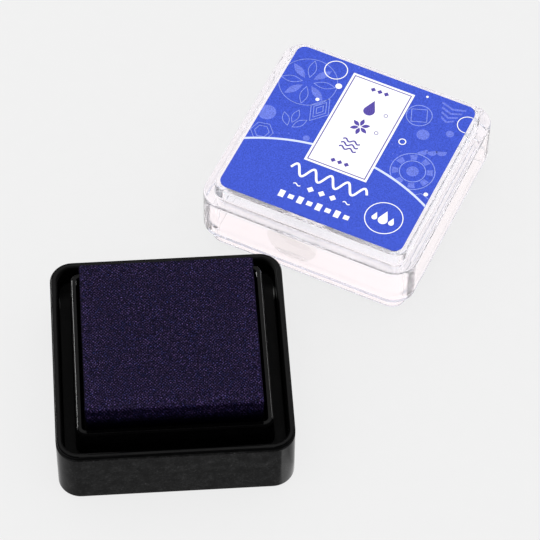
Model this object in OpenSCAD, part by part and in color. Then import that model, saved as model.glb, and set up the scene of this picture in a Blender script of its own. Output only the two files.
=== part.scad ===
// Small craft ink pad, open: a black tray with a raised cloth-covered pad, and its clear
// push-on lid set down on the table behind and to the right, turned a little.
// Millimetres. X is the tray's width, Y runs to the back, Z is up.
// The origin is on the table under the middle of the tray.

/* [Tray] */
// outside width and depth of the square tray
tray_w = 33; // [32:0.25:35]
// height of the tray's outer wall above the table
tray_h = 10; // [9.5:0.25:11]
// outside corner radius of the tray
tray_r = 3.2; // [2.5:0.1:4]
// thickness of the outer wall
tray_wall = 1; // [0.8:0.05:1.1]
// height of the deck's upper face, the floor of the lid channel
deck_z = 6.6; // [6:0.1:7]
// thickness of the deck
deck_t = 1.2; // [0.9:0.1:1.6]
// bevel along the edges of the rim and foot
tray_bevel = 0.22; // [0.1:0.02:0.3]

/* [Pad well] */
// outside width of the wall round the pad
well_w = 27.1; // [26.9:0.1:27.3]
// thickness of the wall round the pad
well_wall = 0.85; // [0.7:0.05:0.95]
// height of the wall round the pad above the table
well_h = 11.4; // [11:0.1:12]
// outside corner radius of the wall round the pad
well_r = 1.3; // [1.1:0.1:1.6]
// bevel along the top of the wall round the pad
well_bevel = 0.15; // [0.05:0.05:0.2]

/* [Pad] */
// width of the covered pad
pad_w = 24.5; // [24:0.1:24.6]
// height of the pad's inked face above the table
pad_top = 15.4; // [14.5:0.1:16]
// corner radius of the cloth cover
pad_r = 0.6; // [0.4:0.1:0.9]
// thickness of the cloth cover
cloth_t = 0.3; // [0.25:0.05:0.4]
// how far the cover's skirt stops above the well floor
skirt_gap = 2; // [1.8:0.1:2.6]
// thickness of the adhesive film under the foam
adhesive_t = 0.2; // [0.15:0.05:0.3]

/* [Lid] */
// how far the lid overhangs the tray on each side when closed
lid_overhang = 0.2; // [0:0.05:0.3]
// height of the lid from the foot of its lip to its top face
lid_h = 12.45; // [12:0.05:13.5]
// height of the lip that drops into the tray's channel
lip_h = 3; // [2.5:0.1:3.2]
// thickness of the lip
lip_t = 0.65; // [0.55:0.05:0.75]
// play between the lip and the inside of the tray wall
lip_play = 0.12; // [0.08:0.02:0.2]
// drop from the lid's top face to its shoulder
step_h = 2.1; // [1.6:0.1:2.4]
// width of the shoulder
step_w = 1.7; // [1.4:0.1:1.9]
// thickness of the lid's top
lid_top_t = 1.2; // [1:0.1:1.5]
// thickness of the wall under the raised top
plate_wall = 1.35; // [1.1:0.05:1.5]
// bevel along the lid's outside edges
lid_bevel = 0.25; // [0.1:0.05:0.35]
// bevel along the foot of the lip
lip_bevel = 0.12; // [0.05:0.01:0.2]
// half width of the thumb hollow in the lid's front wall
thumb_r = 3.9; // [3:0.1:4.4]
// depth of the thumb hollow at its deepest
thumb_d = 0.5; // [0.2:0.05:0.7]
// height of the hollow's flat top over its middle, as a share of its half width
thumb_cut = 0.28; // [0.2:0.02:0.5]
// how far the hollow's flat top stays below the shoulder
thumb_drop = 0.55; // [0.4:0.05:1]
// how far the hollow lies left of the wall's middle
thumb_shift = 1.3; // [0:0.1:3]

/* [Labels] */
// width of the printed label on the lid
label_w = 28.7; // [28:0.1:28.8]
// corner radius of the printed label
label_r = 1.4; // [1:0.1:2]
// thickness of the label film
label_t = 0.1; // [0.08:0.01:0.15]
// width of the plain sticker under the deck
sticker_w = 22; // [18:0.5:26]
// corner radius of the plain sticker
sticker_r = 2; // [1:0.25:3]
// thickness of the plain sticker
sticker_t = 0.12; // [0.1:0.01:0.2]

/* [Where the lid lies] */
// distance of the lid's middle to the right of the tray's middle
lid_x = 27.6; // [26:0.2:34]
// distance of the lid's middle behind the tray's middle
lid_y = 32.9; // [32:0.2:38]
// turn of the lid, clockwise from above, in degrees
lid_turn = 29; // [20:1:40]

/* [Hidden] */
$fn = 64;
// how far the solids that make up one moulding run into each other
overlap = 0.3;
// how far a cutting shape stands clear of what it cuts
spare = 1;
tray_in = tray_w - 2 * tray_wall;
deck_z0 = deck_z - deck_t;
well_in = well_w - 2 * well_wall;
foam_w = pad_w - 2 * cloth_t;
foam_z0 = deck_z + adhesive_t;
foam_z1 = pad_top - cloth_t;
skirt_z = deck_z + skirt_gap;
lid_w = tray_w + 2 * lid_overhang;
lid_r = tray_r + lid_overhang;
lip_out = tray_in / 2 - lip_play;
lip_in = lip_out - lip_t;
plate_out = lid_w / 2 - step_w;
plate_r = lid_r - step_w;
plate_in = plate_out - plate_wall;
shoulder_z = lid_h - step_h;
thumb_top = shoulder_z - thumb_drop;
thumb_z = thumb_top - thumb_cut * thumb_r;
thumb_ball = (thumb_r * thumb_r + thumb_d * thumb_d) / (2 * thumb_d);

// square with round corners, centred, lying flat
module soft_square(w, r) {
  union() {
    square([w - 2 * r, w], center = true);
    square([w, w - 2 * r], center = true);
    for (sx = [-1, 1], sy = [-1, 1])
      translate([sx * (w / 2 - r), sy * (w / 2 - r)]) circle(r = r);
  }
}

module soft_block(w, r, z0, z1) {
  translate([0, 0, z0]) linear_extrude(height = z1 - z0) soft_square(w, r);
}

// carries a wall section round a soft square; the section's points are
// [distance out from the corner's centre, height]
module soft_frame(w, r, section) {
  c = w / 2 - r;
  for (k = [0:3])
    rotate([0, 0, 90 * k]) {
      translate([c, c, 0]) rotate_extrude(angle = 90) polygon(section);
      translate([c, c, 0]) rotate([90, 0, 0]) linear_extrude(height = 2 * c) polygon(section);
    }
}

// black moulding: outer wall on a hollow foot, deck, and the wall round the pad
module base_tray() {
  b = tray_bevel;
  ri = tray_r - tray_wall;
  rw = well_r - well_wall;
  color([0.03, 0.03, 0.035]) union() {
    soft_frame(tray_w, tray_r, [
      [ri, b], [ri + b, 0], [tray_r - b, 0], [tray_r, b],
      [tray_r, tray_h - b], [tray_r - b, tray_h], [ri + b, tray_h], [ri, tray_h - b]]);
    soft_block(tray_in + tray_wall, ri + tray_wall / 2, deck_z0, deck_z);
    soft_frame(well_w, well_r, [
      [rw, deck_z - overlap], [well_r, deck_z - overlap],
      [well_r, well_h - well_bevel], [well_r - well_bevel, well_h],
      [rw + well_bevel, well_h], [rw, well_h - well_bevel]]);
  }
}

// plain sticker on the underside of the deck
module base_sticker() {
  color([0.9, 0.9, 0.88])
    soft_block(sticker_w, sticker_r, deck_z0 - sticker_t, deck_z0);
}

// adhesive film that holds the foam on the well floor
module pad_adhesive() {
  color([0.8, 0.78, 0.7]) translate([-foam_w / 2, -foam_w / 2, deck_z])
    cube([foam_w, foam_w, adhesive_t]);
}

// block of ink-soaked foam
module pad_foam() {
  color([0.09, 0.07, 0.25]) translate([-foam_w / 2, -foam_w / 2, foam_z0])
    cube([foam_w, foam_w, foam_z1 - foam_z0]);
}

// woven cover folded down over the foam
module pad_cloth() {
  color([0.12, 0.1, 0.3]) difference() {
    soft_block(pad_w, pad_r, skirt_z, pad_top);
    translate([-foam_w / 2, -foam_w / 2, skirt_z - spare])
      cube([foam_w, foam_w, foam_z1 - skirt_z + spare]);
  }
}

module lid_place() {
  translate([lid_x, lid_y, 0]) rotate([0, 0, -lid_turn]) children();
}

// clear lid: lip, thick wall, shoulder and raised top, one moulding
module lid_shell() {
  b = lid_bevel;
  c = lid_w / 2 - lid_r;
  color([0.93, 0.93, 0.95, 0.35]) lid_place() difference() {
    union() {
      soft_frame(lid_w, lid_r, [
        [lip_in - c, lip_bevel], [lip_in - c + lip_bevel, 0],
        [lip_out - c - lip_bevel, 0], [lip_out - c, lip_bevel],
        [lip_out - c, lip_h], [lid_r - b, lip_h],
        [lid_r, lip_h + b], [lid_r, shoulder_z - b], [lid_r - b, shoulder_z],
        [plate_r, shoulder_z], [plate_r, lid_h - b], [plate_r - b, lid_h],
        [plate_in - c, lid_h], [plate_in - c, shoulder_z - lid_top_t],
        [lip_in - c, shoulder_z - lid_top_t]]);
      soft_block(2 * (plate_in + overlap), plate_in - c + overlap, lid_h - lid_top_t, lid_h);
    }
    thumb_hollow();
  }
}

// shallow dish pressed into the lid's front wall, cut off flat along its top
module thumb_hollow() {
  translate([-thumb_shift, -lid_w / 2, 0]) intersection() {
    translate([0, thumb_d - thumb_ball, thumb_z]) sphere(r = thumb_ball);
    translate([-thumb_r - spare, -2 * spare, thumb_z - thumb_r - spare])
      cube([2 * (thumb_r + spare), 4 * spare, thumb_top - thumb_z + thumb_r + spare]);
  }
}

// printed film on the raised top
module lid_label() {
  color([0.22, 0.3, 0.82]) lid_place()
    soft_block(label_w, label_r, lid_h, lid_h + label_t);
}

base_tray();
base_sticker();
pad_adhesive();
pad_foam();
pad_cloth();
lid_shell();
lid_label();
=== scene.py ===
"""Ink pad, open, with its clear lid laid beside it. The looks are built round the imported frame.

Lengths in this script are millimetres until they reach a mesh, where MM turns them into metres.
"""
import math

import bmesh
import bpy
import numpy as np
from mathutils import Matrix, Vector


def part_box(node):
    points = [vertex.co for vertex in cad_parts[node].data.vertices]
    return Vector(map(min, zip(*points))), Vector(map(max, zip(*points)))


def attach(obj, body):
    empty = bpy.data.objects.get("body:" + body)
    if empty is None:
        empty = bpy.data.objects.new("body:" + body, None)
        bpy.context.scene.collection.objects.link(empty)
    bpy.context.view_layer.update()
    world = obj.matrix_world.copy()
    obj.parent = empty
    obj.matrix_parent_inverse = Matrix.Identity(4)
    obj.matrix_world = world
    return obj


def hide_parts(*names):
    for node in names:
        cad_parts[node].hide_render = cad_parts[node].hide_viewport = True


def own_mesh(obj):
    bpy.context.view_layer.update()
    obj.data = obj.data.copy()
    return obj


MM = 0.001
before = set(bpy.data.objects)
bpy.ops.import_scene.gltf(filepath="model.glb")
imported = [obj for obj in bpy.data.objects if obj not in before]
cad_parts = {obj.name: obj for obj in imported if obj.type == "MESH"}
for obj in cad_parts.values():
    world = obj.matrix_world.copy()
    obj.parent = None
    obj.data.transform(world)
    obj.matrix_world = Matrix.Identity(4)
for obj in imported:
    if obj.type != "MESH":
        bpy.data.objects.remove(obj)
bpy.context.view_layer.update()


def node_box(name):
    """Lowest and highest corner of a CAD node, in millimetres."""
    low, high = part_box(name)
    return low / MM, high / MM


# ---------------------------------------------------------------- sizes from the frame
_, tray_high = node_box("base_tray")
glue_low, _ = node_box("pad_adhesive")
foam_low, foam_high = node_box("pad_foam")
cloth_low, cloth_high = node_box("pad_cloth")
shell_low, shell_high = node_box("lid_shell")
label_low, label_high = node_box("lid_label")
sticker_low, sticker_high = node_box("base_sticker")

# the tray: heights are above the table, half widths from its middle
TRAY_HALF = tray_high.x
TRAY_R = 3.2
RIM_WIDE = 1.0
RIM_TOP = 10.0
DECK_TOP = glue_low.z
DECK_UNDER = sticker_high.z

# the wall round the pad
WELL_HALF = 13.55
WELL_WALL = 0.85
WELL_TOP = tray_high.z

# the pad: the cover's edge is rounded, and it starts a little low because it is blown out
PAD_HALF = cloth_high.x
PAD_TOP = cloth_high.z
SKIRT_FOOT = cloth_low.z
EDGE_R = 0.26
COVER_TOP = PAD_TOP - 0.08
CLOTH_PITCH = 0.47

# the lid, in its own square frame: it lies turned, so its box gives only its middle and heights
LID_X = (shell_low.x + shell_high.x) / 2
LID_Y = (shell_low.y + shell_high.y) / 2
LID_TURN = math.radians(-29)
LID_HALF = 16.7
LID_OVERHANG = 0.2
LID_TOP = shell_high.z
SHOULDER = LID_TOP - 2.1
LID_PLACE = Matrix.Translation((LID_X * MM, LID_Y * MM, 0)) @ Matrix.Rotation(LID_TURN, 4, "Z")

# the thumb hollow in the lid's front wall: a shallow round dish, cut off flat along its top
HOLLOW_R = 3.9
HOLLOW_DEEP = 0.5
HOLLOW_X = -1.3
HOLLOW_TOP = SHOULDER - 0.55
HOLLOW_Z = HOLLOW_TOP - 0.28 * HOLLOW_R

# the label on the lid
LABEL_HALF = 14.35
LABEL_R = 1.4
LABEL_TOP = label_high.z


# ---------------------------------------------------------------- mesh helpers
def finish_mesh(bm, name, material, body, place=None, smooth_below=40, weighted=True):
    """Turns a bmesh in metres into a piece that rides on a body."""
    bmesh.ops.recalc_face_normals(bm, faces=bm.faces)
    mesh = bpy.data.meshes.new(name)
    bm.to_mesh(mesh)
    bm.free()
    if place is not None:
        mesh.transform(place)
    mesh.materials.append(material)
    mesh.polygons.foreach_set("use_smooth", [True] * len(mesh.polygons))
    mesh.set_sharp_from_angle(angle=math.radians(smooth_below))
    piece = bpy.data.objects.new(name, mesh)
    bpy.context.scene.collection.objects.link(piece)
    if weighted:
        normals = piece.modifiers.new("normals", "WEIGHTED_NORMAL")
        normals.keep_sharp = True
        normals.weight = 80
    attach(piece, body)
    return piece


def rounded(outline, steps=5):
    """An outline of (distance out, height, fillet) corners, with each corner turned to an arc."""
    result = []
    for k, (x, z, fillet) in enumerate(outline):
        corner = Vector((x, z))
        if fillet == 0 or k in (0, len(outline) - 1):
            result.append(corner)
            continue
        before = (Vector(outline[k - 1][:2]) - corner).normalized()
        after = (Vector(outline[k + 1][:2]) - corner).normalized()
        half = before.angle(after) / 2
        centre = corner + (before + after).normalized() * fillet / math.sin(half)
        start = corner + before * fillet / math.tan(half) - centre
        sweep = math.pi - 2 * half
        turn = 1 if start.cross(corner - centre) > 0 else -1
        for s in range(steps + 1):
            a = turn * sweep * s / steps
            cos_a, sin_a = math.cos(a), math.sin(a)
            result.append(centre + Vector((start.x * cos_a - start.y * sin_a,
                                           start.x * sin_a + start.y * cos_a)))
    return result


def soft_square(half, radius, arc_steps, cuts=()):
    """Points round a square with round corners. cuts are places along the front side (-1 to 1
    times the side's straight half) that get points of their own."""
    smallest = 0.02
    radius = max(min(radius, half), smallest)
    c = half - radius
    points = []
    for quarter in range(4):
        a0 = quarter * math.pi / 2
        cx, cy = ((c, c), (-c, c), (-c, -c), (c, -c))[quarter]
        for s in range(arc_steps + 1):
            a = a0 + math.pi / 2 * s / arc_steps
            points.append((cx + radius * math.cos(a), cy + radius * math.sin(a)))
        if quarter == 2:
            points += [(c * t, -half) for t in cuts]
    return points


def loft(outline, corner, arc_steps, cuts=()):
    """A bmesh through soft squares, one for each (half width, height) of the outline, its two ends
    closed. corner gives the corner radius for a half width."""
    bm = bmesh.new()
    loops = []
    for half, z in outline:
        loops.append([bm.verts.new((x * MM, y * MM, z * MM))
                      for x, y in soft_square(half, corner(half), arc_steps, cuts)])
    for a, b in zip(loops, loops[1:]):
        n = len(a)
        for k in range(n):
            bm.faces.new((a[k], a[(k + 1) % n], b[(k + 1) % n], b[k]))
    bm.faces.new(list(reversed(loops[0])))
    bm.faces.new(loops[-1])
    return bm


def corner_rule(*pairs):
    """A function from half width to corner radius, with straight lines between the pairs."""
    halves, radii = zip(*pairs)
    return lambda half: float(np.interp(half, halves, radii))


# ---------------------------------------------------------------- node helpers
def new_material(name):
    """A material with one Principled shader: the material, its tree, the shader and the output."""
    material = bpy.data.materials.new(name)
    material.use_nodes = True
    tree = material.node_tree
    tree.nodes.clear()
    out = tree.nodes.new("ShaderNodeOutputMaterial")
    shader = tree.nodes.new("ShaderNodeBsdfPrincipled")
    tree.links.new(shader.outputs[0], out.inputs[0])
    return material, tree, shader, out


def add(tree, kind, inputs=None, **settings):
    """A node with its settings, its inputs given as values or as sockets to link."""
    node = tree.nodes.new(kind)
    for key, value in settings.items():
        setattr(node, key, value)
    for key, value in (inputs or {}).items():
        if isinstance(value, bpy.types.NodeSocket):
            tree.links.new(value, node.inputs[key])
        else:
            node.inputs[key].default_value = value
    return node


def maths(tree, operation, a, b=0.0):
    """The socket of a Math node; a and b are numbers or sockets."""
    return add(tree, "ShaderNodeMath", {0: a, 1: b}, operation=operation).outputs[0]


def product(tree, a, b):
    return maths(tree, "MULTIPLY", a, b)


def total(tree, first, *others):
    for other in others:
        first = maths(tree, "ADD", first, other)
    return first


def distance(tree, a, b):
    """The length of a vector with sides a and b."""
    return maths(tree, "SQRT", total(tree, product(tree, a, a), product(tree, b, b)))


def split(tree, vector):
    return add(tree, "ShaderNodeSeparateXYZ", {0: vector}).outputs


def remap(tree, value, lo, hi, out_lo=0.0, out_hi=1.0):
    """Carries lo..hi to out_lo..out_hi in a straight line, and stays level beyond both ends."""
    return add(tree, "ShaderNodeMapRange", {"Value": value, "From Min": lo, "From Max": hi,
                                            "To Min": out_lo, "To Max": out_hi}).outputs[0]


def blend_colours(tree, factor, a, b):
    """Colour a where factor is 0, colour b where it is 1. The sockets go by their places, because
    the node has several of the same name."""
    factor_in, colour_a_in, colour_b_in, colour_out = 0, 6, 7, 2
    mix = add(tree, "ShaderNodeMix", data_type="RGBA")
    for k, value in ((factor_in, factor), (colour_a_in, a), (colour_b_in, b)):
        if isinstance(value, bpy.types.NodeSocket):
            tree.links.new(value, mix.inputs[k])
        else:
            mix.inputs[k].default_value = value
    return mix.outputs[colour_out]


def object_place(tree, scale=(1000, 1000, 1000), turn=0.0):
    """Object coordinates in millimetres, scaled and turned about Z."""
    where = tree.nodes.new("ShaderNodeTexCoord").outputs["Object"]
    return add(tree, "ShaderNodeMapping", {"Vector": where, "Scale": scale,
                                           "Rotation": (0, 0, turn)}).outputs[0]


def facing_up(tree):
    """How far the surface faces up, from -1 to 1, in the piece's own frame."""
    return split(tree, tree.nodes.new("ShaderNodeTexCoord").outputs["Normal"])[2]


def noise(tree, where, scale, detail=3.0, rough=0.55):
    return add(tree, "ShaderNodeTexNoise", {"Vector": where, "Scale": scale, "Detail": detail,
                                            "Roughness": rough}).outputs[0]


def bump(tree, shader, height, strength, distance_mm):
    relief = add(tree, "ShaderNodeBump", {"Height": height, "Strength": strength,
                                          "Distance": distance_mm * MM})
    tree.links.new(relief.outputs[0], shader.inputs["Normal"])


# ---------------------------------------------------------------- materials
def tray_plastic():
    """Black moulded plastic: satin gloss, cloudy haze, hair scratches, a duller channel floor, and a
    rim whose two edges the lid has rubbed dull."""
    material, tree, shader, _ = new_material("tray_plastic")
    shader.inputs["Specular IOR Level"].default_value = 0.045
    shader.inputs["IOR"].default_value = 1.52
    clean, hazed = (0.0005, 0.0005, 0.0006, 1), (0.038, 0.038, 0.039, 1)
    where = object_place(tree)
    one_quarter = add(tree, "ShaderNodeVectorMath", {0: where}, operation="ABSOLUTE").outputs[0]
    x, y, z = split(tree, one_quarter)

    # how far in from the tray's outside, measured square to it round the corners too
    past_x, past_y = [maths(tree, "MAXIMUM", maths(tree, "SUBTRACT", side, TRAY_HALF - TRAY_R), 0.0)
                      for side in (x, y)]
    inward = maths(tree, "SUBTRACT", TRAY_R, distance(tree, past_x, past_y))
    floor = product(tree, remap(tree, facing_up(tree), 0.8, 0.97),
                    remap(tree, z, DECK_TOP + 0.25, DECK_TOP + 0.10))
    outside = product(tree, remap(tree, inward, 0.4, 0.1),
                      remap(tree, z, RIM_TOP - 0.2, RIM_TOP - 0.38))
    rim_middle = 0.46
    off_middle = maths(tree, "ABSOLUTE", maths(tree, "SUBTRACT", inward, rim_middle))
    rubbed = product(tree, remap(tree, off_middle, 0.26, 0.34), remap(tree, inward, 2.0, 1.5))
    rubbed = product(tree, rubbed, remap(tree, z, RIM_TOP - 0.9, RIM_TOP - 0.6))

    cloud = noise(tree, where, 0.55, 4, 0.6)
    fine = noise(tree, where, 9.0, 2, 0.5)
    dust = remap(tree, noise(tree, where, 3.3, 3, 0.7), 0.45, 0.75)
    scratched = object_place(tree, (260, 5200, 5200), 0.5)
    hair = remap(tree, noise(tree, scratched, 1.0, 2, 0.5), 0.66, 0.74)
    scuffed = object_place(tree, (2600, 300, 1400), -0.35)
    scuff = remap(tree, noise(tree, scuffed, 1.0, 3, 0.6), 0.64, 0.80)

    haze = total(tree, remap(tree, cloud, 0.32, 0.72), product(tree, fine, 0.5),
                 product(tree, scuff, 1.6), product(tree, dust, 0.9))
    haze = product(tree, haze, remap(tree, outside, 0, 1, 0.12, 0.42))
    haze = total(tree, maths(tree, "POWER", haze, 2.2), product(tree, floor, 0.085))
    tree.links.new(blend_colours(tree, haze, clean, hazed), shader.inputs["Base Color"])
    rough = total(tree, remap(tree, cloud, 0.35, 0.7, 0.08, 0.16), product(tree, hair, 0.14),
                  product(tree, floor, 0.36), product(tree, rubbed, 0.85))
    tree.links.new(rough, shader.inputs["Roughness"])
    bump(tree, shader, total(tree, product(tree, fine, 0.35), product(tree, hair, -0.5)), 0.35, 0.006)
    return material


def clear_plastic():
    """Clear polished plastic: its thumb hollow tinted a little grey, and a strip of painted shade under
    the shoulder, a cool grey tint streaked with fine lines. Lamps shine through it, so what it covers
    isn't left in the dark."""
    material, tree, shader, out = new_material("clear_plastic")
    shader.inputs["Transmission Weight"].default_value = 0.94
    shader.inputs["IOR"].default_value = 1.49
    # the second colour is painted shade, for the strip under the shoulder
    clear, shade_strip_tint, hollow_grey = (1, 1, 1, 1), (0.855, 0.925, 0.955, 1), (0.87, 0.885, 0.865, 1)
    square_on = add(tree, "ShaderNodeMapping", {
        "Vector": object_place(tree), "Location": LID_PLACE.inverted().translation / MM,
        "Rotation": (0, 0, -LID_TURN)}).outputs[0]
    x, y, z = split(tree, square_on)

    reach = distance(tree, maths(tree, "SUBTRACT", x, HOLLOW_X), maths(tree, "SUBTRACT", z, HOLLOW_Z))
    at_front = remap(tree, y, 1.1 - LID_HALF, 0.9 - LID_HALF)
    below_cut = remap(tree, z, HOLLOW_TOP + 0.05, HOLLOW_TOP - 0.1)
    # the thumb hollow is tinted a little grey, cut off flat along its top
    hollow_grey_mask = product(tree, remap(tree, reach, HOLLOW_R + 0.05, HOLLOW_R - 0.25),
                    product(tree, below_cut, at_front))
    drawn_out = add(tree, "ShaderNodeMapping", {"Vector": square_on, "Scale": (0.03, 0.03, 9.0)})
    lines = remap(tree, noise(tree, drawn_out.outputs[0], 1.0, 2, 0.6), 0.42, 0.62, 0.7, 1.0)
    # painted shade: a cool grey tint over the wall just under the shoulder, streaked with fine lines
    painted_shade_band = product(tree, remap(tree, z, SHOULDER - 1.3, SHOULDER - 0.5), lines)
    plain = blend_colours(tree, painted_shade_band, clear, shade_strip_tint)
    tree.links.new(blend_colours(tree, hollow_grey_mask, plain, hollow_grey), shader.inputs["Base Color"])
    smear = noise(tree, square_on, 0.6, 3, 0.6)
    tree.links.new(remap(tree, smear, 0.4, 0.8, 0.01, 0.05), shader.inputs["Roughness"])
    bump(tree, shader, noise(tree, square_on, 0.35, 2, 0.5), 0.05, 0.02)

    passing = add(tree, "ShaderNodeBsdfTransparent", {"Color": (0.97, 0.94, 0.95, 1)})
    path = tree.nodes.new("ShaderNodeLightPath")
    mix = add(tree, "ShaderNodeMixShader", {0: path.outputs["Is Shadow Ray"],
                                            1: shader.outputs[0], 2: passing.outputs[0]})
    tree.links.new(mix.outputs[0], out.inputs[0])
    return material


def cloth():
    """Woven cloth full of ink: crossing yarns with a slight slant, brighter where they stand up, a
    painted highlight on the raised yarns over darker ink between them, in two inks that drift over it,
    and darker down the skirt and where it turns from the top, painted shade of the well and the rounded
    edge together with ink that gathers there."""
    material, tree, shader, _ = new_material("inked_cloth")
    shader.inputs["Specular IOR Level"].default_value = 0.005
    # the first colour is near-black ink in painted shade, for the skirt
    soaked_and_shaded, ink = (0.0, 0.0, 0.0012, 1), (0.0030, 0.0022, 0.0100, 1)
    violet, pink_violet = (0.268, 0.160, 0.500, 1), (0.289, 0.182, 0.520, 1)
    blue = (0.102, 0.134, 0.565, 1)
    where = object_place(tree)
    x, y, z = split(tree, where)

    def wave(value):
        return maths(tree, "SINE", product(tree, value, 2 * math.pi / CLOTH_PITCH))

    # both lean with the height, so the weave runs on down the skirt without upright ribs
    along = total(tree, x, product(tree, z, 0.9))
    across = maths(tree, "SUBTRACT", y, product(tree, z, 0.35))
    knots = product(tree, wave(along), wave(across))
    slant = wave(maths(tree, "SUBTRACT", across, along))
    fuzz = noise(tree, where, 5.2, 2, 0.6)
    weave = total(tree, product(tree, knots, 0.44), product(tree, slant, 0.14),
                  remap(tree, fuzz, 0.30, 0.70, -1, 1))

    slow_drift = remap(tree, noise(tree, where, 0.16, 3, 0.6), 0.3, 0.7)
    warm = blend_colours(tree, slow_drift, violet, pink_violet)
    quick_drift = remap(tree, noise(tree, where, 2.1, 2, 0.5), 0.45, 0.75)
    light = blend_colours(tree, quick_drift, warm, blue)
    # painted highlight: the colour runs from the dark ink between the yarns to the bright ink on their
    # raised tops, standing in for the glints of wet yarns
    level = maths(tree, "POWER", remap(tree, weave, -1.25, 1.75), 4.6)
    colour = blend_colours(tree, level, ink, light)
    # painted shade: near black low down the skirt and where the cloth turns away from up, the shade of
    # the well and the rounded edge, together with ink gathered down the skirt
    skirt_shade_and_ink = product(tree, remap(tree, z, WELL_TOP + 0.6, WELL_TOP + 2.4, 0.05, 1.0),
                  remap(tree, facing_up(tree), 0.25, 0.90, 0.36, 1.0))
    tree.links.new(blend_colours(tree, skirt_shade_and_ink, soaked_and_shaded, colour), shader.inputs["Base Color"])
    tree.links.new(remap(tree, fuzz, 0.3, 0.7, 0.40, 0.70), shader.inputs["Roughness"])
    bump(tree, shader, weave, 0.8, 0.05)
    return material


def foam():
    """Open-cell foam, dark with ink."""
    material, tree, shader, _ = new_material("inked_foam")
    shader.inputs["Roughness"].default_value = 0.7
    wall, cell = (0.03, 0.024, 0.11, 1), (0.006, 0.005, 0.03, 1)
    cells = add(tree, "ShaderNodeTexVoronoi", {"Vector": object_place(tree), "Scale": 2.4})
    from_middle = cells.outputs["Distance"]
    colour = blend_colours(tree, remap(tree, from_middle, 0.1, 0.6), wall, cell)
    tree.links.new(colour, shader.inputs["Base Color"])
    bump(tree, shader, from_middle, 0.8, 0.15)
    return material


def film(name, colour, speckle=0.28, rough=0.40, back=None):
    """Printed film or sticker: an even colour with a faint printer's grain under soft gloss, and
    another colour on its underside if back gives one."""
    material, tree, shader, _ = new_material(name)
    shader.inputs["Specular IOR Level"].default_value = 0.05
    grain = noise(tree, object_place(tree), 6.5, 2, 0.5)
    darker = tuple(c * (1 - speckle) for c in colour) + (1,)
    lighter = tuple(min(1, c * (1 + speckle)) for c in colour) + (1,)
    face = blend_colours(tree, remap(tree, grain, 0.3, 0.7), darker, lighter)
    if back:
        face = blend_colours(tree, remap(tree, facing_up(tree), -0.3, -0.6), face, back)
    tree.links.new(face, shader.inputs["Base Color"])
    tree.links.new(remap(tree, grain, 0.3, 0.7, rough - 0.03, rough + 0.04), shader.inputs["Roughness"])
    return material


def glue_film():
    """Adhesive film, yellowed in streaks."""
    material, tree, shader, _ = new_material("adhesive_film")
    shader.inputs["Roughness"].default_value = 0.35
    streaks = remap(tree, noise(tree, object_place(tree), 0.8, 3, 0.6), 0.3, 0.7)
    colour = blend_colours(tree, streaks, (0.5, 0.44, 0.33, 1), (0.6, 0.55, 0.43, 1))
    tree.links.new(colour, shader.inputs["Base Color"])
    return material


TRAY_BLACK = tray_plastic()
CLEAR = clear_plastic()
CLOTH = cloth()
FOAM = foam()
LABEL_BLUE = film("label_blue", (0.0528, 0.0955, 0.575), back=(0.86, 0.86, 0.93, 1))
PRINT_PALE = film("print_pale", (0.145, 0.198, 0.70))
PRINT_LINE = film("print_line", (0.25, 0.32, 0.80))
PRINT_ARC = film("print_arc", (0.66, 0.73, 0.95), 0.06)
PRINT_WHITE = film("print_white", (0.96, 0.96, 0.97), 0.01)
PRINT_VIOLET = film("print_violet", (0.10, 0.075, 0.36))
PLAIN_STICKER = film("plain_sticker", (0.82, 0.82, 0.80), 0.02, 0.5)
GLUE = glue_film()


# ---------------------------------------------------------------- tray
def make_tray():
    """One moulding as one closed surface: under the deck, round the hollow foot, up the outer
    wall, over the rim, along the lid channel, over the wall round the pad and across its floor."""
    draft, foot_draft, chamfer = 0.04, 0.08, 0.20
    wall_in = TRAY_HALF - RIM_WIDE
    channel = wall_in - draft
    well_in = WELL_HALF - WELL_WALL
    under, middle = 14.0, 11.5
    outline = rounded([
        (under, DECK_UNDER, 0), (wall_in - foot_draft, DECK_UNDER, 0.35),
        (wall_in + foot_draft, 0.0, 0.14), (TRAY_HALF, 0.0, 0.32),
        (TRAY_HALF, RIM_TOP, 0.26), (wall_in, RIM_TOP, 0.34),
        (channel, DECK_TOP, 0.3), (WELL_HALF + draft, DECK_TOP, 0.25),
        (WELL_HALF, WELL_TOP - chamfer, 0.10), (WELL_HALF - chamfer, WELL_TOP, 0.12),
        (well_in, WELL_TOP, 0.16), (well_in - 0.03, DECK_TOP, 0.2), (middle, DECK_TOP, 0)])
    corner = corner_rule((middle, 0.3), (well_in, 0.55), (WELL_HALF, 1.3),
                         (channel, 2.16), (TRAY_HALF, TRAY_R))
    bm = loft(outline, corner, arc_steps=12)
    piece = finish_mesh(bm, "tray_moulding", TRAY_BLACK, "tray")
    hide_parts("base_tray")
    return piece


# ---------------------------------------------------------------- pad
def border(grid):
    """What lies round the edge of a square grid, once round."""
    return np.concatenate([grid[:-1, 0], grid[-1, :-1], grid[:0:-1, -1], grid[0, :0:-1]])


def grid_piece(top, rows):
    """A bmesh from a square grid of points, rows of points that go on round and below its edge, and
    one face that closes the last row."""
    n = top.shape[0]
    index = np.arange(n * n).reshape(n, n)
    corners = (index[:-1, :-1], index[1:, :-1], index[1:, 1:], index[:-1, 1:])
    quads = np.stack(corners, -1).reshape(-1, 4)
    points, faces, last = [top.reshape(-1, 3)], [quads], border(index)
    for k, row in enumerate(rows):
        ring = n * n + k * len(row) + np.arange(len(row))
        faces.append(np.stack([last, ring, np.roll(ring, -1), np.roll(last, -1)], -1))
        points.append(row)
        last = ring
    mesh = bpy.data.meshes.new("grid")
    all_faces = np.concatenate(faces).tolist() + [last.tolist()]
    mesh.from_pydata(np.concatenate(points).tolist(), [], all_faces)
    bm = bmesh.new()
    bm.from_mesh(mesh)
    bpy.data.meshes.remove(mesh)
    return bm


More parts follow.
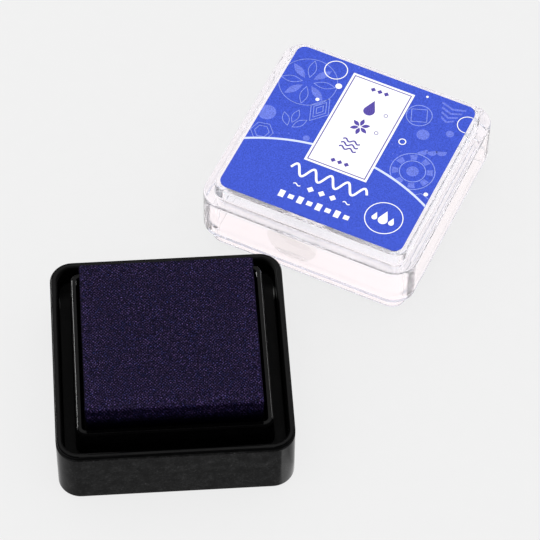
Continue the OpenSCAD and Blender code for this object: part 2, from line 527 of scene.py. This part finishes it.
def cover(cells, downs):
    """The stretched cover before it is blown out: its top, and the rows of its skirt, each a
    share of the way down."""
    side = np.linspace(-PAD_HALF, PAD_HALF, cells + 1)
    x, y = np.meshgrid(side, side, indexing="ij")
    t = np.clip(1 - (PAD_HALF - np.maximum(abs(x), abs(y))) / EDGE_R, 0, 1)
    z = COVER_TOP - EDGE_R * (1 - np.sqrt(1 - t * t))
    round_in, pulled_in = 0.3, 0.010
    at_corner = np.clip((np.minimum(abs(x), abs(y)) - (PAD_HALF - round_in)) / round_in, 0, 1)
    pull = 1 - pulled_in * at_corner ** 2
    top = np.stack([x * pull, y * pull, z], -1)

    # the skirt leans in a little, with a fold beside each corner
    lean, fold_deep, fold_from_corner, fold_wide = 0.10, 0.05, 1.1, 0.35
    around = border(top)
    travel = np.arange(4 * cells) / cells % 1
    from_corner = np.minimum(travel, 1 - travel) * 2 * PAD_HALF
    fold = fold_deep * np.exp(-((from_corner - fold_from_corner) / fold_wide) ** 2)
    rows = []
    start = COVER_TOP - EDGE_R
    for down in downs:
        shrink = 1 - (lean * down + fold * min(1, 3 * down)) / PAD_HALF
        height = np.full(4 * cells, start + (SKIRT_FOOT - start) * down)
        rows.append(np.stack([around[:, 0] * shrink, around[:, 1] * shrink, height], -1))
    return top, np.array(rows)


def blown_out(cells, levels):
    """How a light pressure under the cover moves it, its skirt's foot held: cloth simulated on a
    coarse copy forty times as large, its movement scaled down until no point moves more than a
    limit."""
    large, limit, steps = 0.04, 0.10, 20
    top, skirt = cover(cells, np.arange(1, levels + 1) / levels)
    bm = grid_piece(top * large, list(skirt * large))
    mesh = bpy.data.meshes.new("trial")
    bm.to_mesh(mesh)
    bm.free()
    trial = bpy.data.objects.new("trial", mesh)
    bpy.context.scene.collection.objects.link(trial)
    held = trial.vertex_groups.new(name="held")
    two_rows = 8 * cells
    held.add(list(range(len(mesh.vertices) - two_rows, len(mesh.vertices))), 1.0, "REPLACE")
    blow = trial.modifiers.new("blow", "CLOTH").settings
    blow.quality = 6
    blow.mass = 0.3
    blow.tension_stiffness = 60
    blow.compression_stiffness = 60
    blow.shear_stiffness = 30
    blow.bending_stiffness = 2
    blow.use_pressure = True
    blow.uniform_pressure_force = 4
    blow.vertex_group_mass = "held"
    blow.effector_weights.gravity = 0
    for step in range(1, steps + 1):
        bpy.context.scene.frame_set(step)
    after = trial.evaluated_get(bpy.context.evaluated_depsgraph_get()).to_mesh()
    flat = np.empty(len(after.vertices) * 3)
    after.vertices.foreach_get("co", flat)
    before = np.empty_like(flat)
    mesh.vertices.foreach_get("co", before)
    moved = ((flat - before) / large).reshape(-1, 3)
    bpy.context.scene.frame_set(1)
    bpy.data.objects.remove(trial)
    bpy.data.meshes.remove(mesh)
    furthest = np.linalg.norm(moved, axis=1).max()
    print("cover moved at most", round(float(furthest), 3), "mm, kept to", limit)
    moved *= min(1.0, limit / furthest)
    on_top = (cells + 1) ** 2
    return (moved[:on_top].reshape(cells + 1, cells + 1, 3),
            moved[on_top:].reshape(levels, 4 * cells, 3))


def spread(values, a, b):
    """A grid of vectors read off at rows a and columns b, whole or between."""
    i = np.minimum(a.astype(int), values.shape[0] - 2)
    j = np.minimum(b.astype(int), values.shape[1] - 2)
    u, v = (a - i)[:, None, None], (b - j)[None, :, None]
    near = values[i][:, j] * (1 - v) + values[i][:, j + 1] * v
    far = values[i + 1][:, j] * (1 - v) + values[i + 1][:, j + 1] * v
    return near * (1 - u) + far * u


def yarns(u, v):
    """The relief of the weave at places u along and v across it."""
    over = np.sin(2 * np.pi * u / CLOTH_PITCH) * np.sin(2 * np.pi * v / CLOTH_PITCH)
    return over + 0.3 * np.sin(2 * np.pi * (v - u) / CLOTH_PITCH)


def add_weave(top, skirt):
    """Raises the yarns: upward on the flat of the top, and outward round its edge and down the
    skirt."""
    up, out_at_edge, out_on_skirt, tiny = 0.016, 0.045, 0.040, 0.001
    flat = np.clip((PAD_HALF - np.maximum(abs(top[..., 0]), abs(top[..., 1]))) / EDGE_R, 0, 1)
    rib = yarns(top[..., 0], top[..., 1])
    top[..., 2] += up * rib * flat
    length = np.linalg.norm(top[..., :2], axis=-1, keepdims=True) + tiny
    top[..., :2] += (out_at_edge * rib * (1 - flat))[..., None] * top[..., :2] / length

    around = border(top)[:, :2]
    outward = around / np.linalg.norm(around, axis=1, keepdims=True)
    travel = np.arange(len(around)) / len(around) * 8 * PAD_HALF
    for row in skirt:
        row[:, :2] += (yarns(travel, row[:, 2]) * out_on_skirt)[:, None] * outward


def lining(cells):
    """Two square rows for the cover's plain inside, which stands just clear of the foam."""
    side = np.linspace(-1, 1, cells + 1)
    square = border(np.stack(np.meshgrid(side, side, indexing="ij"), -1)) * (foam_high.x + 0.02)
    ends = (SKIRT_FOOT, foam_high.z + 0.01)
    return [np.column_stack([square, np.full(len(square), z)]) for z in ends]


def make_pad():
    """The cloth cover: blown out a little over the foam, with the yarns of its weave in relief, its
    skirt going down into the well with a fold at each corner, and a plain inside over the foam."""
    coarse, coarse_levels = 48, 6
    cells, fine_levels = ((250, 28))
    seen, hidden = np.linspace(0.02, 0.44, fine_levels), [0.6, 0.8, 1.0]
    downs = np.concatenate([seen, hidden])
    top, skirt = cover(cells, downs)

    top_moved, skirt_moved = blown_out(coarse, coarse_levels)
    across = np.linspace(0, coarse, cells + 1)
    top += spread(top_moved, across, across)
    moved = np.concatenate([border(top_moved)[None], skirt_moved])
    moved = np.concatenate([moved, moved[:, :1]], 1)
    skirt += spread(moved, downs * coarse_levels, np.arange(4 * cells) * coarse / cells)

    add_weave(top, skirt)
    bm = grid_piece(top * MM, [row * MM for row in list(skirt) + lining(cells)])
    piece = finish_mesh(bm, "pad_cover", CLOTH, "pad_face",
                        smooth_below=80, weighted=False)
    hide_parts("pad_cloth")
    return piece


def make_foam():
    """The foam block, its edges soft."""
    half, cap, fillet = foam_high.x, foam_high.x - 2, 0.3
    outline = rounded([(cap, foam_low.z, 0), (half, foam_low.z, fillet),
                       (half, foam_high.z, fillet), (cap, foam_high.z, 0)])
    bm = loft(outline, lambda half: 0.5, arc_steps=5)
    piece = finish_mesh(bm, "foam_core", FOAM, "tray")
    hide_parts("pad_foam")
    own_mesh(piece)
    return piece


# ---------------------------------------------------------------- lid
def make_lid():
    """One clear moulding: lip, wall, shoulder and raised top, hollow below, with the thumb hollow
    pressed into its front wall."""
    play, lip_wall, step_wide, plate_wall, top_thick = 0.12, 0.65, 1.7, 1.35, 1.2
    lip_out, lip_top = LID_HALF - LID_OVERHANG - RIM_WIDE - play, 3.0
    lip_in = lip_out - lip_wall
    plate_out = LID_HALF - step_wide
    plate_in = plate_out - plate_wall
    ceiling, inner_shoulder = LID_TOP - top_thick, SHOULDER - top_thick
    line_deep, middle = 0.06, 10.0
    outline = rounded([
        (middle, ceiling, 0), (plate_in, ceiling, 0.5), (plate_in + 0.02, inner_shoulder, 0.3),
        (plate_in + 0.35, inner_shoulder, 0.02), (plate_in + 0.37, inner_shoulder - line_deep, 0.02),
        (lip_in - 0.1, inner_shoulder - line_deep, 0.6), (lip_in, 0.0, 0.12),
        (lip_out - 0.04, 0.0, 0.18), (lip_out, lip_top, 0.12), (LID_HALF, lip_top, 0.28),
        (LID_HALF, SHOULDER, 0.34), (plate_out + 0.03, SHOULDER, 0.18),
        (plate_out, LID_TOP, 0.32), (middle, LID_TOP, 0)])
    corner = corner_rule((middle, 0.6), (plate_in, 0.9), (plate_out, 1.75),
                         (lip_out, 2.1), (LID_HALF, 3.4))

    # points for the hollow: rows up the long upright run of the wall, and cuts along its front
    near, long_run = 0.001, 3
    wall = next(k for k, p in enumerate(outline[:-1])
                if abs(p.x - LID_HALF) < near and outline[k + 1].y - p.y > long_run)
    rows = list(np.linspace(HOLLOW_Z - HOLLOW_R - 0.1, HOLLOW_TOP, 44)) + [HOLLOW_TOP + 0.03]
    outline[wall + 1:wall + 1] = [Vector((LID_HALF, z)) for z in rows]
    straight = LID_HALF - corner(LID_HALF)
    reach = HOLLOW_R + 0.2
    cuts = [x / straight for x in np.linspace(HOLLOW_X - reach, HOLLOW_X + reach, 70)]
    bm = loft(outline, corner, arc_steps=14, cuts=cuts)

    ball = (HOLLOW_R ** 2 + HOLLOW_DEEP ** 2) / (2 * HOLLOW_DEEP)
    for v in bm.verts:
        x, y, z = v.co / MM
        if abs(y + LID_HALF) < near and z < HOLLOW_TOP + 0.01:
            square = ball ** 2 - (x - HOLLOW_X) ** 2 - (z - HOLLOW_Z) ** 2
            v.co.y += max(0.0, math.sqrt(max(square, 0)) - (ball - HOLLOW_DEEP)) * MM
    piece = finish_mesh(bm, "lid_moulding", CLEAR, "lid", LID_PLACE)
    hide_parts("lid_shell")


def thin_film(cap, half, low, high, fillets, corner, arc_steps):
    """A bmesh for a thin square film, its flat faces reaching out from cap, and its lower and
    upper edges softened by the two fillets."""
    fillet_steps = 3
    outline = rounded([(cap, low, 0), (half, low, fillets[0]),
                       (half, high, fillets[1]), (cap, high, 0)], fillet_steps)
    return loft(outline, corner, arc_steps)


def make_label():
    """The printed film on the raised top, in its ground colour."""
    middle, clear_of_lid = 10.0, 0.002
    bm = thin_film(middle, LABEL_HALF, label_low.z + clear_of_lid, LABEL_TOP, (0.03, 0.04),
                   corner_rule((middle, 0.6), (LABEL_HALF, LABEL_R)), arc_steps=12)
    piece = finish_mesh(bm, "label_film", LABEL_BLUE, "lid", LID_PLACE)
    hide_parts("lid_label")


def make_sticker():
    """The plain sticker under the deck."""
    bm = thin_film(8.0, sticker_high.x, sticker_low.z, sticker_high.z, (0.04, 0.04),
                   lambda half: 1.5, arc_steps=8)
    piece = finish_mesh(bm, "underside_sticker", PLAIN_STICKER, "tray")
    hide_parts("base_sticker")


# ---------------------------------------------------------------- outlines for the print
def arc(x, y, r, start, end, steps):
    """Points along a circle about (x, y), from start to end in degrees."""
    turns = [math.radians(start + (end - start) * k / steps) for k in range(steps + 1)]
    return [(x + r * math.cos(a), y + r * math.sin(a)) for a in turns]


def polygon(x, y, r, sides, start=0):
    """The corners of a regular polygon, which is a circle where it has many sides."""
    return arc(x, y, r, start, start + 360, sides)[:-1]


def turned(points, x, y, degrees, size=1.0):
    """Points turned about the origin, scaled, and moved to (x, y)."""
    c, s = math.cos(math.radians(degrees)) * size, math.sin(math.radians(degrees)) * size
    return [(x + px * c - py * s, y + px * s + py * c) for px, py in points]


def rectangle(left, right, foot, head):
    """The corners of an upright rectangle."""
    return [(left, foot), (right, foot), (right, head), (left, head)]


def lens(x, y, length, width, degrees, steps=10):
    """A leaf: two curves between two tips."""
    shares = [k / steps for k in range(steps + 1)]
    up = [(length * (t - 0.5), width / 2 * math.sin(math.pi * t)) for t in shares]
    down = [(px, -py) for px, py in reversed(up[1:-1])]
    return turned(up + down, x, y, degrees)


def petals(x, y, count, start, reach, length, width):
    """Leaves pointing outward round (x, y), the first at start degrees."""
    leaves = []
    for k in range(count):
        lean = start + 360 * k / count
        a = math.radians(lean)
        leaves.append(lens(x + reach * math.cos(a), y + reach * math.sin(a), length, width, lean))
    return leaves


def drop(x, y, size):
    """An ink drop with its tip up."""
    return turned([(0, 1.5)] + arc(0, -0.3, 0.75, 30, -210, 20), x, y, 0, size)


def wavy(x, y, length, waves, height, steps):
    """Points along a wavy line with its middle at (x, y)."""
    return [(x + length * (k / steps - 0.5), y + height * math.sin(2 * math.pi * waves * k / steps))
            for k in range(steps + 1)]


# ---------------------------------------------------------------- what is printed on the label
class Ink:
    """Flat shapes of one colour at one height over the label film, gathered into one piece."""

    thickness, lowest, apart = 0.006, 0.002, 0.008

    def __init__(self, level):
        self.bm = bmesh.new()
        self.z = LABEL_TOP + self.lowest + level * self.apart

    def shape(self, points):
        self.bm.faces.new([self.bm.verts.new((x * MM, y * MM, self.z * MM)) for x, y in points])

    def line(self, points, width, closed=False):
        """A stroke along points, its joints mitred."""
        sharpest = 0.35
        n = len(points)
        sides = []
        for k, (x, y) in enumerate(points):
            before = Vector(points[k - 1]) if k or closed else None
            after = Vector(points[(k + 1) % n]) if k < n - 1 or closed else None
            here = Vector((x, y))
            one = (here - before).normalized() if before is not None else (after - here).normalized()
            two = (after - here).normalized() if after is not None else one
            normal = Vector((-(one + two).y, (one + two).x)).normalized()
            reach = width / 2 / max(sharpest, normal.dot(Vector((-one.y, one.x))))
            sides.append((here + normal * reach, here - normal * reach))
        verts = [[self.bm.verts.new((p.x * MM, p.y * MM, self.z * MM)) for p in pair] for pair in sides]
        for k in range(n if closed else n - 1):
            a, b = verts[k], verts[(k + 1) % n]
            self.bm.faces.new((a[0], a[1], b[1], b[0]))

    def outline(self, points, width):
        self.line(points, width, closed=True)

    def disc(self, x, y, r, steps=48):
        self.shape(polygon(x, y, r, steps))

    def ring(self, x, y, r, width, steps=48):
        self.outline(polygon(x, y, r, steps), width)

    def trim(self, half, corner_r, cuts=36):
        """Cuts off what lies outside a square with round corners."""
        bm = self.bm
        for k in range(cuts):
            a = 2 * math.pi * k / cuts
            side = Vector((math.cos(a), math.sin(a), 0))
            centre = Vector([(half - corner_r) * np.sign(round(c, 6)) for c in side])
            bmesh.ops.bisect_plane(bm, geom=list(bm.verts) + list(bm.edges) + list(bm.faces),
                                   plane_co=centre + side * corner_r, plane_no=side, clear_outer=True)

    def lay(self, name, material):
        """Trims what runs over the label's edge, gives the ink its thickness, and lays it down."""
        self.trim((LABEL_HALF - 0.03) * MM, (LABEL_R - 0.05) * MM)
        self.bm.normal_update()
        for face in self.bm.faces:
            if face.normal.z < 0:
                face.normal_flip()
        mesh = bpy.data.meshes.new(name)
        self.bm.to_mesh(mesh)
        self.bm.free()
        mesh.transform(LID_PLACE)
        mesh.materials.append(material)
        piece = bpy.data.objects.new(name, mesh)
        bpy.context.scene.collection.objects.link(piece)
        body = piece.modifiers.new("body", "SOLIDIFY")
        body.thickness = self.thickness * MM
        body.offset = -1
        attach(piece, "lid")


def print_ground():
    """The plain lower field under its pale arc."""
    arc_r, arc_top, past_edge = 29.9, -1.5, 15
    sweep = arc(0, arc_top - arc_r, arc_r, 120, 60, 60)
    field = Ink(3)
    field.shape(sweep + [(past_edge, -past_edge), (-past_edge, -past_edge)])
    field.lay("label_field", LABEL_BLUE)
    edge = Ink(4)
    edge.line(sweep, width=0.36)
    edge.lay("label_arc", PRINT_ARC)


def rosette(solid, thin, x, y):
    """Eight petals in a ring, solid and outlined by turns."""
    for k, petal in enumerate(petals(x, y, count=8, start=10, reach=2.5, length=3.2, width=1.15)):
        if k % 2:
            solid.shape(petal)
        else:
            thin.outline(petal, width=0.10)
    thin.ring(x, y, 4.35, width=0.10, steps=72)


def toothed_target(solid, thin, x, y):
    """A disc in two rings, with a ring of eight teeth between them."""
    for r in (3.25, 1.9):
        thin.ring(x, y, r, width=0.14, steps=72)
    solid.disc(x, y, 0.9)
    for k in range(8):
        start, end = 45 * k + 8, 45 * k + 30
        solid.shape(arc(x, y, 3.0, start, end, 4) + arc(x, y, 2.1, end, start, 4))


def chevrons(solid, x, y):
    """Four chevrons pointing down, each shorter than the one above it."""
    dip, tall = 0.6, 0.35
    for k in range(4):
        rise = y - 0.85 * k
        half = 1.9 - 0.3 * k
        solid.shape([(x - half, rise), (x, rise - dip), (x + half, rise),
                     (x + half, rise - tall), (x, rise - dip - tall), (x - half, rise - tall)])


def dot_drift(solid, x, y, first):
    """Fine dots along a spiral, every third of its places from the first."""
    for k in range(first, 26, 3):
        a, r = 2.4 * k, 0.35 * math.sqrt(k)
        solid.disc(x + r * math.cos(a), y + r * math.sin(a), 0.09, steps=12)


def print_motifs():
    """Plain ornaments in pale ink over the upper field: solid shapes, then outlined ones."""
    solid, thin = Ink(1), Ink(2)
    rosette(solid, thin, -10.3, 8.3)
    toothed_target(solid, thin, 10.2, -0.2)
    for x, y, r in ((-13.4, 0.6, 1.35), (8.9, 6.6, 0.95), (-6.2, -1.3, 0.5), (12.4, 8.4, 0.6)):
        solid.disc(x, y, r)
    for x, y, lean in ((-10.4, 0.7, 125), (-9.3, 1.7, 90), (-8.2, 0.7, 55)):
        thin.outline(lens(x, y, 2.5, 1.0, lean), width=0.10)
    lozenge = [(0, 1), (0.62, 0), (0, -1), (-0.62, 0)]
    for size in (2.5, 1.7, 0.9):
        thin.outline(turned(lozenge, -6.6, 4.3, -12, size), width=0.11)
    for x, y, r, start in ((-12.6, -2.9, 1.7, 12), (-12.6, -2.9, 1.1, 12), (13.2, -4.9, 1.6, 40)):
        thin.outline(polygon(x, y, r, 6, start), width=0.10)
    ringed_x, ringed_y = 7.0, 9.6
    thin.ring(ringed_x, ringed_y, 1.9, width=0.13)
    thin.outline(turned(rectangle(-1, 1, -1, 1), ringed_x, ringed_y, 20, 1.15), width=0.11)
    chevrons(solid, 11.0, 13.5)
    for k in range(3):
        start = 200 + 12 * k
        solid.shape(arc(12.6 - 1.3 * k, 4.9 - 0.55 * k, 0.8, start, start + 180, 12))
    for first, (x, y) in enumerate(((-3.6, 13.6), (-8.8, -3.1), (6.3, 2.0))):
        dot_drift(solid, x, y, first)
    solid.lay("label_motifs_solid", PRINT_PALE)
    thin.lay("label_motifs_line", PRINT_LINE)


def print_lower_field(white):
    """A wavy line, two rows of small marks under it, and three drops in a ring."""
    white.line(wavy(0, -7.0, length=12.0, waves=4.5, height=0.95, steps=120), width=0.36)
    marks_y, blocks_y = -9.55, -11.9
    for x in (-3.9, 3.9):
        white.line(wavy(x, marks_y, length=1.1, waves=1, height=0.16, steps=12), width=0.17)
    for x in (-1.75, 0, 1.75):
        white.shape(polygon(x, marks_y, 0.55, 4))
    for k in range(8):
        x, half_tall = -5.2 + 1.45 * k, (0.62, 0.38)[k % 2]
        white.shape(rectangle(x - 0.42, x + 0.42, blocks_y - half_tall, blocks_y + half_tall))
    white.ring(9.85, -9.65, 2.75, width=0.14, steps=72)
    for x, y, size in ((9.85, -9.75, 0.95), (8.55, -9.9, 0.55), (11.15, -9.9, 0.55)):
        white.shape(drop(x, y, size))


def print_panel():
    """The white panel with its frame and marks, and all else that is white."""
    white, violet = Ink(5), Ink(6)
    left, right, foot, head, inset = -4.9, 4.95, -4.95, 12.8, 0.42
    middle = (left + right) / 2
    white.shape(rectangle(left, right, foot, head))
    violet.outline(rectangle(left + inset, right - inset, foot + inset, head - inset), width=0.15)
    for y in (foot + 1.7, head - 1.7):
        for k in (-1, 0, 1):
            violet.shape(polygon(middle + 1.05 * k, y, 0.42, 4))
    violet.shape(drop(middle, 7.55, 1.15))
    for petal in petals(middle, 3.95, count=6, start=30, reach=0.85, length=1.35, width=0.62):
        violet.shape(petal)
    for k in range(3):
        wavelet = wavy(middle, 0.95 - 0.75 * k, length=2.7, waves=2, height=0.22, steps=24)
        violet.line(wavelet, width=0.24)
    for y in (7.4, 3.9):
        violet.ring(middle + 2.6, y, 0.28, width=0.09, steps=20)
    print_lower_field(white)
    for x, y, r in ((-5.9, 9.5, 0.5), (-7.7, 5.9, 0.3), (6.7, 13.3, 0.2), (13.6, -3.2, 0.34)):
        white.disc(x, y, r, steps=28)
    for x, y, r, width in ((-7.5, 12.1, 1.7, 0.14), (14.1, 11.0, 1.5, 0.13), (6.7, 4.1, 0.5, 0.16)):
        white.ring(x, y, r, width)
    white.lay("label_white", PRINT_WHITE)
    violet.lay("label_violet", PRINT_VIOLET)


# ---------------------------------------------------------------- the pieces, built
def colour_glue():
    """The adhesive film keeps the frame's own solid, with its own looks."""
    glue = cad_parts["pad_adhesive"]
    glue.data.materials.clear()
    glue.data.materials.append(GLUE)


BASE_PIECES = bpy.data.collections.new("base_pieces")
for base_piece in (make_tray(), make_pad(), make_foam()):
    BASE_PIECES.objects.link(base_piece)
make_lid()
make_label()
make_sticker()
print_ground()
print_motifs()
print_panel()
colour_glue()


# ---------------------------------------------------------------- stage, light and camera
def seen_by(tree, camera, mirror, clear, lit, tint):
    """A brightness and colour for each kind of ray: straight to the camera, mirrored, through
    clear plastic (with its tint), or lighting a matt surface."""
    path = tree.nodes.new("ShaderNodeLightPath")
    on_matt = path.outputs["Is Diffuse Ray"]
    value = total(tree, product(tree, path.outputs["Is Camera Ray"], camera),
                  product(tree, on_matt, lit),
                  product(tree, path.outputs["Is Glossy Ray"], mirror))
    inside = product(tree, maths(tree, "MINIMUM", path.outputs["Transmission Depth"], 1.0),
                     maths(tree, "SUBTRACT", 1.0, on_matt))
    outside = maths(tree, "SUBTRACT", 1.0, inside)
    strength = total(tree, product(tree, value, outside), product(tree, inside, clear))
    return strength, blend_colours(tree, inside, (1, 1, 1, 1), tint)


def make_stage():
    """The pale floor. What mirrors it sees a bright pool on it by the tray's front right corner."""
    mesh = bpy.data.meshes.new("floor")
    reach = 3.0
    mesh.from_pydata([(-reach, -reach, 0), (reach, -reach, 0), (reach, reach, 0), (-reach, reach, 0)],
                     [], [(0, 1, 2, 3)])
    floor = bpy.data.objects.new("floor", mesh)
    bpy.context.scene.collection.objects.link(floor)
    material, tree, shader, _ = new_material("floor_paper")
    shader.inputs["Roughness"].default_value = 0.9
    shader.inputs["Specular IOR Level"].default_value = 0.0
    where = object_place(tree)
    paper = blend_colours(tree, noise(tree, where, 0.4, 3, 0.5), (0.085, 0.085, 0.085, 1),
                          (0.095, 0.095, 0.095, 1))
    tree.links.new(paper, shader.inputs["Base Color"])

    x, y, _ = split(tree, where)
    slant = total(tree, x, y)
    starts, full, fades, ends = -2.4, -1.4, -1.2, 4.5
    back, front = -8, -11
    pool = product(tree, remap(tree, slant, starts, full), remap(tree, slant, ends, fades))
    pool = product(tree, pool, remap(tree, y, back, front))
    strength, colour = seen_by(tree, camera=0.775, mirror=remap(tree, pool, 0.0, 1.0, 0.72, 2.5),
                               clear=1.035, lit=1.15, tint=(1.0, 0.91, 0.925, 1))
    tree.links.new(strength, shader.inputs["Emission Strength"])
    tree.links.new(colour, shader.inputs["Emission Color"])
    mesh.materials.append(material)


def make_world():
    """Even light for what is lit, and a dimmer room for what is mirrored."""
    world = bpy.data.worlds.new("room")
    bpy.context.scene.world = world
    world.use_nodes = True
    tree = world.node_tree
    tree.nodes.clear()
    out = tree.nodes.new("ShaderNodeOutputWorld")
    strength, colour = seen_by(tree, camera=0.887, mirror=0.06, clear=0.94, lit=1.15,
                               tint=(0.86, 0.87, 1.0, 1))
    room = add(tree, "ShaderNodeBackground", {"Color": colour, "Strength": strength})
    tree.links.new(room.outputs[0], out.inputs[0])


def softbox(name, place, aim, width, depth, watts, mirrored):
    """A lamp that either only shows in the gloss of the tray and pad, or only lights what is matt."""
    light = bpy.data.lights.new(name, "AREA")
    light.shape = "RECTANGLE"
    light.size = width
    light.size_y = depth
    light.energy = watts
    lamp = bpy.data.objects.new(name, light)
    lamp.location = place
    lamp.rotation_mode = "QUATERNION"
    lamp.rotation_quaternion = (Vector(aim) - Vector(place)).to_track_quat("-Z", "Y")
    lamp.visible_glossy = mirrored
    lamp.visible_diffuse = not mirrored
    lamp.visible_transmission = False
    if mirrored:
        lamp.light_linking.receiver_collection = BASE_PIECES
    bpy.context.scene.collection.objects.link(lamp)


def make_lamps():
    """The lamps, their places and sizes in metres."""
    tray_top = (0, 0, RIM_TOP * MM)
    softbox("left_wall", (-0.455, 0.40, 0.36), tray_top, 0.22, 0.22, watts=26.0, mirrored=True)
    softbox("right_wall", (0.50, 0.41, 0.33), tray_top, 0.22, 0.22, watts=9.0, mirrored=True)
    softbox("back_top", (0.035, 0.43, 0.60), (0.005, 0.01, 0.01), 0.26, 0.22, watts=0.55, mirrored=True)
    softbox("front_top", (-0.02, -0.30, 0.62), tray_top, 0.5, 0.12, watts=1.0, mirrored=True)
    softbox("fill", (0.1, -0.1, 1.0), (0.015, 0.02, 0), 1.2, 1.2, watts=0.9, mirrored=False)


def make_camera():
    """A long lens looking down at the pair, level but for a small roll."""
    above, turn, roll = math.radians(54.78), math.radians(-4.70), math.radians(0.957)
    away = 0.468
    target = Vector((15.40, 20.48, 0)) * MM
    across = math.cos(above)
    back = Vector((math.sin(turn) * across, -math.cos(turn) * across, math.sin(above)))
    camera = bpy.data.objects.new("camera", bpy.data.cameras.new("camera"))
    camera.data.lens = 213.5
    camera.data.sensor_width = 36
    camera.data.clip_start = 0.01
    camera.data.clip_end = 20
    camera.location = target + back * away
    camera.rotation_mode = "QUATERNION"
    facing = (-back).to_track_quat("-Z", "Y")
    camera.rotation_quaternion = facing @ Matrix.Rotation(roll, 4, "Z").to_quaternion()
    bpy.context.scene.collection.objects.link(camera)
    bpy.context.scene.camera = camera


def set_view():
    """Plain colours, and enough bounces for the walls of the clear lid."""
    scene = bpy.context.scene
    scene.view_settings.view_transform = "Standard"
    scene.view_settings.look = "None"
    scene.cycles.max_bounces = 32
    scene.cycles.transmission_bounces = 32
    scene.cycles.transparent_max_bounces = 16
    scene.cycles.glossy_bounces = 32


make_stage()
make_world()
make_lamps()
make_camera()
set_view()
